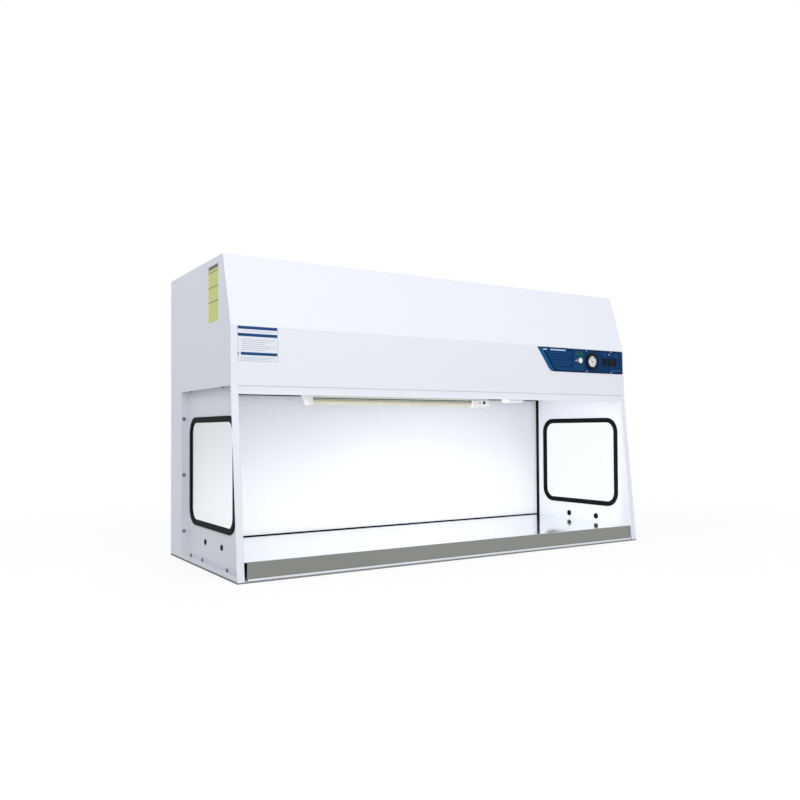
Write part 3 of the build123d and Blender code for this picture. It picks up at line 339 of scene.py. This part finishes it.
def printed(name, colour, roughness=0.42, gloss=0.25, print_or_painted_shade=None):
    """Printed film: a flat ink with a fine screen in it."""
    finish = Finish(name)
    screen = finish.grain(1200.0, 1.0)
    ink = finish.blend(screen, dimmed(colour, 0.9), colour)
    return finish.surface(
        Base_Color=print_or_painted_shade(finish, ink) if print_or_painted_shade else ink,
        Roughness=roughness + 0.06 * finish.grain(30.0, 2.0),
        Specular_IOR_Level=gloss,
    )


def panel_ink(name, colour, print_or_painted_shade=None):
    """Ink under the matt film of the control panel."""
    return printed(name, colour, 0.55, 0.07, print_or_painted_shade)


def panel_print(finish, ink):
    """Panel print: dark rim, light band at the slanted end, paler field at the knob."""
    across = finish.along(0)
    drop = FOLD_HEIGHT - finish.along(2)
    inward = across - PANEL_LEFT - (drop - PANEL_TOP) * PANEL_LEAN
    field = finish.between(across, *KNOB_FIELD_ACROSS) * finish.between(drop, *KNOB_FIELD_DROP)
    ink = finish.blend(0.6 * field, ink, (0.014, 0.075, 0.140))
    rim = (drop < PANEL_TOP + PANEL_RIM_TOP) + (drop > PANEL_BOTTOM - PANEL_RIM_BOTTOM)
    rim = rim + (across > PANEL_RIGHT - PANEL_RIM_RIGHT)
    rim = rim + finish.between(inward, *PANEL_RIM_SLANT)
    ink = finish.blend(rim, ink, (0.0005, 0.004, 0.040))
    light = finish.node("ValToRGB", {"stops": BAND_STOPS}, {0: inward * (1 / BAND_WIDTH)})
    return finish.blend(light, ink, (0.006, 0.125, 0.310))


HOOD_WHITE = (0.83, 0.845, 0.885)
WHITE_PAINT = powder_coat("white_powder_coat", HOOD_WHITE)
MARKED_PAINT = powder_coat("white_powder_coat_label", HOOD_WHITE, print_or_painted_shade=side_label)
BENCH_STEEL = bench_steel()
ZINC = zinc_sheet()
BLACK_RUBBER = moulded("black_rubber", (0.007, 0.009, 0.010), 0.55, 0.05)
GREY_RUBBER = moulded("grey_rubber", (0.26, 0.26, 0.25), 0.75)
BLACK_PLASTIC = moulded("black_plastic", (0.004, 0.004, 0.005), 0.35, 0.12)
WHITE_PLASTIC = moulded("white_plastic", (0.84, 0.84, 0.82), 0.32)
# the lamp body: cream enamel, with painted shade in dark olive along its lower edge
CREAM_BATTEN_PAINTED_SHADE = powder_coat("batten_enamel_painted_shade", (0.62, 0.66, 0.56), 0.4, batten_enamel_painted_shade)
PALE_LENS = moulded("pale_lens", (0.62, 0.70, 0.62), 0.15)
MOTOR_PAINT = powder_coat("motor_enamel", (0.05, 0.052, 0.055), 0.45)
FRAME_ALLOY = turned_steel("frame_alloy", (0.78, 0.79, 0.80), 0.35)
BOLT_ZINC = turned_steel("bolt_zinc", (0.30, 0.35, 0.40), 0.32)
SHAFT_STEEL = turned_steel("shaft_steel", (0.70, 0.70, 0.70), 0.2)
BRIGHT_METAL = turned_steel("bright_metal", (0.92, 0.92, 0.92), 0.1)
SCREW_STEEL = turned_steel("screw_steel", (0.40, 0.46, 0.55), 0.35)
BRASS = turned_steel("pin_brass", (0.80, 0.62, 0.32), 0.25)
PANE = clear_glass("window_pane_clear")
PANEL_INK = panel_ink("panel_dark_blue", (0.004, 0.038, 0.128), panel_print)
DIM_INK = panel_ink("panel_grey_blue", (0.014, 0.074, 0.190))
HALF_INK = panel_ink("panel_half_blue", (0.060, 0.150, 0.290))
PALE_INK = panel_ink("pale_ink", (0.46, 0.60, 0.80))
GREEN_INK = panel_ink("panel_green", (0.020, 0.090, 0.085))
LABEL_WHITE = printed("label_white", (0.84, 0.86, 0.90))
LABEL_BLUE = printed("label_blue", (0.010, 0.065, 0.200))
LABEL_GREY = printed("label_grey", (0.55, 0.59, 0.66))
LABEL_EDGE = printed("label_edge", (0.40, 0.43, 0.50))
LABEL_BLACK = printed("label_black", (0.03, 0.03, 0.03))
DIAL_WHITE = printed("dial_white", (0.86, 0.89, 0.93), 0.5)
NEEDLE_RED = printed("needle_red", (0.60, 0.04, 0.03))

NODE_FINISHES = {
    "work_surface": BENCH_STEEL, "base_feet": GREY_RUBBER, "port_plugs": BLACK_RUBBER,
    "filter_seal": BLACK_RUBBER, "filter_frame": FRAME_ALLOY, "filter_guard": filter_face(),
    "filter_pack": pleated_paper(), "surface_bearers": ZINC, "rear_bearer": ZINC,
    "filter_rail": ZINC, "filter_clamps": ZINC, "control_box": ZINC, "lamp_ballast": ZINC,
    "frame_bolts": BOLT_ZINC, "lamp_body": CREAM_BATTEN_PAINTED_SHADE, "lamp_end_caps": WHITE_PLASTIC,
    "lamp_sockets": BLACK_PLASTIC, "lamp_tube": coated_tube(), "control_panel": PANEL_INK,
    "panel_screws": SCREW_STEEL, "gauge_case": BLACK_PLASTIC, "gauge_dial": DIAL_WHITE,
    "gauge_needle": NEEDLE_RED, "gauge_lens": PANE, "speed_control": BLACK_PLASTIC,
    "speed_knob": BRIGHT_METAL, "pilot_lamps": PALE_LENS, "rocker_frames": BLACK_PLASTIC,
    "blower_rocker": BLACK_PLASTIC, "light_rocker": BLACK_PLASTIC,
    "outlet_rocker": BLACK_PLASTIC, "power_inlet": BLACK_PLASTIC, "inlet_pins": BRASS,
    "left_head_skin": MARKED_PAINT,
}
FLEECE = fleece()
for hand in ("left", "right"):
    NODE_FINISHES[f"{hand}_window_gasket"] = BLACK_RUBBER
    NODE_FINISHES[f"{hand}_window_pane"] = PANE
    NODE_FINISHES[f"{hand}_blower_housing"] = ZINC
    NODE_FINISHES[f"{hand}_impeller"] = ZINC
    NODE_FINISHES[f"{hand}_blower_motor"] = MOTOR_PAINT
    NODE_FINISHES[f"{hand}_blower_shaft"] = SHAFT_STEEL
    NODE_FINISHES[f"{hand}_prefilter_pad"] = FLEECE

for name, solid in NODES.items():
    solid.data.materials.clear()
    solid.data.materials.append(NODE_FINISHES.get(name, WHITE_PAINT))


# ---- mesh helpers ---------------------------------------------------------------------------
def make_piece(name, mesh_maker, finishes, body="cabinet"):
    """Turn a filled bmesh into a smooth piece that rides on a body."""
    work = bmesh.new()
    mesh_maker(work)
    bmesh.ops.recalc_face_normals(work, faces=work.faces)
    mesh = bpy.data.meshes.new(name)
    work.to_mesh(mesh)
    work.free()
    for finish in finishes:
        mesh.materials.append(finish)
    mesh.shade_smooth()
    mesh.set_sharp_from_angle(angle=math.radians(32))
    piece = bpy.data.objects.new(name, mesh)
    bpy.context.collection.objects.link(piece)
    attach(piece, body)
    return piece


def rounded_polygon(corners, radius, steps=6):
    """Points round a polygon whose corners are all rounded by one radius."""
    points = []
    count = len(corners)
    for index, corner in enumerate(corners):
        here = Vector(corner)
        back = (Vector(corners[index - 1]) - here).normalized()
        ahead = (Vector(corners[(index + 1) % count]) - here).normalized()
        half = back.angle(ahead) / 2
        middle = here + (back + ahead).normalized() * radius / math.sin(half)
        start = here + back * radius / math.tan(half) - middle
        end = here + ahead * radius / math.tan(half) - middle
        for step in range(steps + 1):
            points.append(tuple(middle + start.lerp(end, step / steps).normalized() * radius))
    return points


def rectangle(left, right, low, high):
    """Corners of a rectangle, anticlockwise."""
    return [(left, low), (right, low), (right, high), (left, high)]


def circle_outline(x, y, radius, steps=32):
    """Points round a circle."""
    turns = [2 * math.pi / steps * index for index in range(steps)]
    return [(x + radius * math.cos(turn), y + radius * math.sin(turn)) for turn in turns]


def add_ring(work, place, outline, level):
    """Points of an outline at one level over a plane."""
    return [work.verts.new(place @ Vector((x, y, level))) for x, y in outline]


def bridge(work, first, second):
    """Wall between two rings that run the same way round."""
    faces = []
    for index in range(len(first)):
        after = (index + 1) % len(first)
        faces.append(work.faces.new((first[index], first[after], second[after], second[index])))
    return faces


def add_plate(work, place, outline, low, high, finish_index=0):
    """Raise a flat plate from low to high over a plane."""
    rings = [add_ring(work, place, outline, level) for level in (low, high)]
    faces = [work.faces.new(ring) for ring in rings] + bridge(work, *rings)
    for face in faces:
        face.material_index = finish_index


def standing_at(origin, axes):
    """Matrix of a frame with its origin at a point and its three axes given."""
    turned = Matrix([[axis[row] for axis in axes] for row in range(3)]).to_4x4()
    return Matrix.Translation(origin) @ turned


# ---- the head's lower front, taken from the frame -------------------------------------------
joints = {joint["name"]: joint for joint in frame["joints"]}
FRONT_NORMAL = Vector(joints["needle_turn"]["axis"]).normalized()
GAUGE_POINT = Vector(joints["needle_turn"]["pos_m"])
FRONT_UP = FRONT_NORMAL.cross(Vector((1, 0, 0))).normalized()
PANEL_THICKNESS = 2.0 * MM
NEEDLE_LIFT = 3.0 * MM
GAUGE_DROP = 57.0 * MM


def front_frame(lift=0.0):
    """Plane on the head's lower front sheet: x across, y up from the fold, z out of it."""
    origin = GAUGE_POINT + FRONT_NORMAL * (lift - NEEDLE_LIFT) + FRONT_UP * GAUGE_DROP
    origin.x = 0.0
    return standing_at(origin, (Vector((1, 0, 0)), FRONT_UP, FRONT_NORMAL))


def gauge_frame(lift=0.0):
    """The same plane with its origin under the middle of the gauge."""
    return front_frame(lift) @ Matrix.Translation((GAUGE_POINT.x, -GAUGE_DROP, 0))


# ---- data label on the head, left -----------------------------------------------------------
def label_mesh(work):
    """White plate with blue bands, grey lines and a thin edge; bars are shares of the plate."""
    left, right = -0.9278, -0.7805
    low, high = -0.1225, -0.0022
    film, ink = 0.20 * MM, 0.26 * MM
    place = front_frame()
    outline = rounded_polygon(rectangle(left, right, low, high), 1.5 * MM)
    add_plate(work, place, outline, 0, film)

    def bar(start, end, under, over, finish_index):
        spans = [left + share * (right - left) for share in (start, end)]
        levels = [high - share * (high - low) for share in (under, over)]
        add_plate(work, place, rectangle(*spans, *levels), film, ink, finish_index)

    bar(0.010, 0.990, 0.092, 0.006, 1)
    bar(0.010, 0.990, 0.300, 0.212, 1)
    bar(0.080, 0.990, 0.836, 0.750, 1)
    bar(0.010, 0.032, 0.836, 0.765, 1)
    for row in range(6):
        level = 0.385 + row * 0.058
        bar(0.09, 0.94 - 0.13 * (row % 3), level + 0.020, level, 2)
    bar(0.12, 0.88, 0.160, 0.142, 2)
    for row in range(2):
        level = 0.895 + row * 0.045
        bar(0.07, 0.92 - 0.20 * row, level + 0.018, level, 2)
    bar(0.0, 1.0, 1.0, 0.990, 3)
    bar(0.0, 0.008, 0.99, 0.010, 3)
    bar(0.992, 1.0, 0.99, 0.010, 3)


make_piece(
    "data_label", label_mesh, [LABEL_WHITE, LABEL_BLUE, LABEL_GREY, LABEL_EDGE],
)


# ---- print on the control panel -------------------------------------------------------------
def panel_marks_mesh(work):
    """Bars, brackets and a dot; left and right across the hood, upper and lower from the fold."""
    place = front_frame(PANEL_THICKNESS)
    thick = 0.05 * MM

    def bar(left, right, upper, lower, finish_index):
        add_plate(work, place, rectangle(left, right, -lower, -upper), 0, thick, finish_index)

    for left, right in ((0.4555, 0.4775), (0.4970, 0.5880)):
        bar(left, right, 0.0108, 0.0172, 1)
    for row in range(5):
        upper = 0.0240 + row * 0.0125
        start = 0.470 + 0.0095 * row
        bar(start, 0.622 - 0.012 * (row % 3), upper, upper + 0.0048, 0)
    bar(0.535, 0.628, 0.0935, 0.0985, 0)
    add_plate(work, place, circle_outline(0.5205, -0.0885, 2.2 * MM), 0, thick, 3)
    bar(0.530, 0.556, 0.0865, 0.0905, 2)
    bar(0.650, 0.690, 0.0185, 0.0340, 2)
    for middle in (0.8295, 0.8978):
        bar(middle - 0.0075, middle - 0.0055, 0.0180, 0.0370, 3)
        bar(middle + 0.0055, middle + 0.0075, 0.0180, 0.0370, 3)
        bar(middle - 0.0055, middle + 0.0055, 0.0180, 0.0198, 3)
    bar(0.868, 0.934, 0.0920, 0.0952, 3)
    bar(0.9352, 0.9366, 0.0100, 0.1000, 0)


make_piece(
    "panel_marks", panel_marks_mesh, [DIM_INK, PALE_INK, GREEN_INK, HALF_INK],
)


# ---- rim of the gauge -----------------------------------------------------------------------
def gauge_rim_mesh(work):
    """Turned ring: radius and lift in millimetres, from the flange over the crown to the bore."""
    place = gauge_frame()
    section = [
        (39.5, 2.05), (39.3, 3.0), (38.4, 3.6), (37.2, 4.0), (36.9, 6.6), (36.2, 7.5), (34.8, 8.0),
        (32.0, 8.1), (29.0, 7.8), (26.6, 7.2), (25.3, 6.6), (25.0, 6.3), (28.0, 6.3), (36.55, 7.05),
        (36.55, 2.05),
    ]
    rings = []
    for radius, lift in section:
        outline = circle_outline(0, 0, radius * MM, steps=72)
        rings.append(add_ring(work, place, outline, lift * MM))
    for first, second in zip(rings, rings[1:] + rings[:1]):
        bridge(work, first, second)


make_piece("gauge_rim", gauge_rim_mesh, [BLACK_PLASTIC])


# ---- cover over the lamp's wiring -----------------------------------------------------------
def wiring_cover_mesh(work):
    """Cover that tapers from the ceiling down, with a soft lower edge."""
    cover_low, cover_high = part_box("lamp_wiring_cover")
    front, back = cover_low[1], cover_high[1]
    levels = [(cover_high[2], 0.272, 0.381, 0.0), (cover_low[2] + 2 * MM, 0.285, 0.362, 6 * MM)]
    rings = []
    for z, left, right, draft in levels:
        outline = rounded_polygon(rectangle(left, right, front + draft, back - draft), 6 * MM)
        rings.append(add_ring(work, Matrix(), outline, z))
    bridge(work, *rings)
    lower = work.faces.new(rings[1])
    work.faces.new(rings[0])
    bmesh.ops.bevel(
        work, geom=list(lower.edges), offset=3 * MM, segments=3, profile=0.5, affect="EDGES",
    )


cover = make_piece("wiring_cover", wiring_cover_mesh, [WHITE_PAINT])
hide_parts("lamp_wiring_cover")


# ---- dial face ------------------------------------------------------------------------------
def dial_marks_mesh(work):
    """Fan of marks over the needle's sweep, every fifth one long."""
    dial_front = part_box("gauge_dial")[0][1]
    dial_face = Vector((GAUGE_POINT.x, dial_front, GAUGE_POINT.z)) - GAUGE_POINT
    place = gauge_frame(NEEDLE_LIFT + dial_face.dot(FRONT_NORMAL) - 0.3 * MM)
    marks, first_angle, sweep = 26, 140, 100
    outer = 0.0235
    for index in range(marks):
        angle = math.radians(first_angle - sweep * index / (marks - 1))
        inner, half = (0.0185, 0.00045) if index % 5 == 0 else (0.0205, 0.00025)
        across = Vector((-math.sin(angle), math.cos(angle)))
        out = Vector((math.cos(angle), math.sin(angle)))
        corners = [out * inner - across * half, out * outer - across * half,
                   out * outer + across * half, out * inner + across * half]
        add_plate(work, place, [tuple(corner) for corner in corners], 0, 0.00045)


make_piece("dial_marks", dial_marks_mesh, [LABEL_BLACK])


# ---- floor, light and camera ----------------------------------------------------------------
def seen_white(finish):
    """1 on the rays that the camera, gloss or glass follows, 0 on those that only bring light."""
    camera_ray, glossy_ray, glass_ray = [
        finish.node("LightPath", output=f"Is {kind} Ray")
        for kind in ("Camera", "Glossy", "Transmission")
    ]
    settings = {"operation": "ADD", "use_clamp": True}
    return finish.node("Math", settings, {0: camera_ray + glossy_ray, 1: glass_ray})


def pale_floor():
    """White studio floor that stays white to the camera and keeps a soft shadow."""
    finish = Finish("pale_floor")
    seen = seen_white(finish)
    colour = finish.blend(seen, (0.38, 0.38, 0.39), (0.97, 0.97, 0.97))
    diffuse = finish.node("BsdfDiffuse", None, {"Color": colour})
    glow = finish.node("Emission", None, {"Color": (1, 1, 1, 1), "Strength": 1.0})
    across, along = finish.along(0), finish.along(1)
    spread = across * across + along * along
    fade = {"Value": spread, "From Min": 1.5, "From Max": 9.0, "To Min": 0.82, "To Max": 1.0}
    cover = finish.node("MapRange", None, fade)
    mixed = finish.node("MixShader", None, {0: cover * seen, 1: diffuse, 2: glow})
    finish.node("OutputMaterial", None, {"Surface": mixed})
    return finish.owner


def studio_surround():
    """White wall all round; the light that it gives is softer and a little cool."""
    finish = Finish("studio_surround", bpy.data.worlds)
    seen = seen_white(finish)
    colour = finish.blend(seen, (0.94, 0.98, 1.05), (1, 1, 1))
    wall = finish.node("Background", None, {"Color": colour, "Strength": 0.62 + 0.38 * seen})
    finish.node("OutputWorld", None, {"Surface": wall})
    return finish.owner


FLOOR_REACH = 40.0
floor_corners = rectangle(-FLOOR_REACH, FLOOR_REACH, -FLOOR_REACH, FLOOR_REACH)
floor_mesh = bpy.data.meshes.new("studio_floor")
floor_mesh.from_pydata([(x, y, 0) for x, y in floor_corners], [], [range(4)])
floor_mesh.materials.append(pale_floor())
floor = bpy.data.objects.new("studio_floor", floor_mesh)
bpy.context.collection.objects.link(floor)
bpy.context.scene.world = studio_surround()


def soft_lamp(name, place, target, size, power, tint=(1, 1, 1), spread=180.0):
    """Large rectangular lamp aimed at a point, its beam as wide as the spread in degrees."""
    lamp = bpy.data.lights.new(name, "AREA")
    lamp.shape = "RECTANGLE"
    lamp.size, lamp.size_y = size
    lamp.energy = power
    lamp.color = tint
    lamp.spread = math.radians(spread)
    holder = bpy.data.objects.new(name, lamp)
    holder.location = place
    holder.rotation_euler = (Vector(target) - Vector(place)).to_track_quat("-Z", "Y").to_euler()
    holder.visible_camera = False
    holder.visible_glossy = False
    bpy.context.collection.objects.link(holder)


soft_lamp("key_lamp", (0.2, -4.6, 3.2), (0, 0, 0.6), (3.4, 2.2), 97)
soft_lamp("front_lamp", (-1.9, -4.4, 1.2), (0.2, 0, 0.45), (2.8, 1.6), 36)
soft_lamp("side_lamp", (-2.9, -0.3, 3.2), (-0.3, 0, 1.0), (2.2, 1.6), 28, (0.88, 0.95, 1.0))
soft_lamp("back_lamp", (1.2, 4.6, 2.8), (0, 0, 0.6), (3.0, 2.2), 60, (0.97, 0.98, 1.0))

# two unseen lamps that even out the light inside the work area
INSIDE_TINT = (0.98, 0.99, 1.0)
soft_lamp("opening_lamp", (0, -0.335, 0.36), (0, 0, 0.36), (1.78, 0.50), 2.6, INSIDE_TINT)
soft_lamp("end_lamp", (-0.90, -0.14, 0.35), (0.93, -0.10, 0.33), (0.32, 0.42), 1.3, INSIDE_TINT, 55)

CAMERA_PLACE = Vector((-1.8931, -2.9144, 0.5053))
CAMERA_YAW, CAMERA_PITCH, CAMERA_ROLL = 0.56138, 0.02431, -0.00528
ahead = Vector((
    math.sin(CAMERA_YAW) * math.cos(CAMERA_PITCH),
    math.cos(CAMERA_YAW) * math.cos(CAMERA_PITCH),
    math.sin(CAMERA_PITCH),
))
level_right = Vector((math.cos(CAMERA_YAW), -math.sin(CAMERA_YAW), 0))
level_up = level_right.cross(ahead)
lean_cos, lean_sin = math.cos(CAMERA_ROLL), math.sin(CAMERA_ROLL)
camera_right = lean_cos * level_right + lean_sin * level_up
camera_up = lean_cos * level_up - lean_sin * level_right
camera_data = bpy.data.cameras.new("camera")
camera_data.lens = 35.86
camera_data.sensor_width = 36.0
camera_data.shift_x = -0.0040
camera_data.shift_y = 0.0142
camera = bpy.data.objects.new("camera", camera_data)
camera.matrix_world = standing_at(CAMERA_PLACE, (camera_right, camera_up, -ahead))
bpy.context.collection.objects.link(camera)
bpy.context.scene.camera = camera
bpy.context.scene.view_settings.view_transform = "Standard"
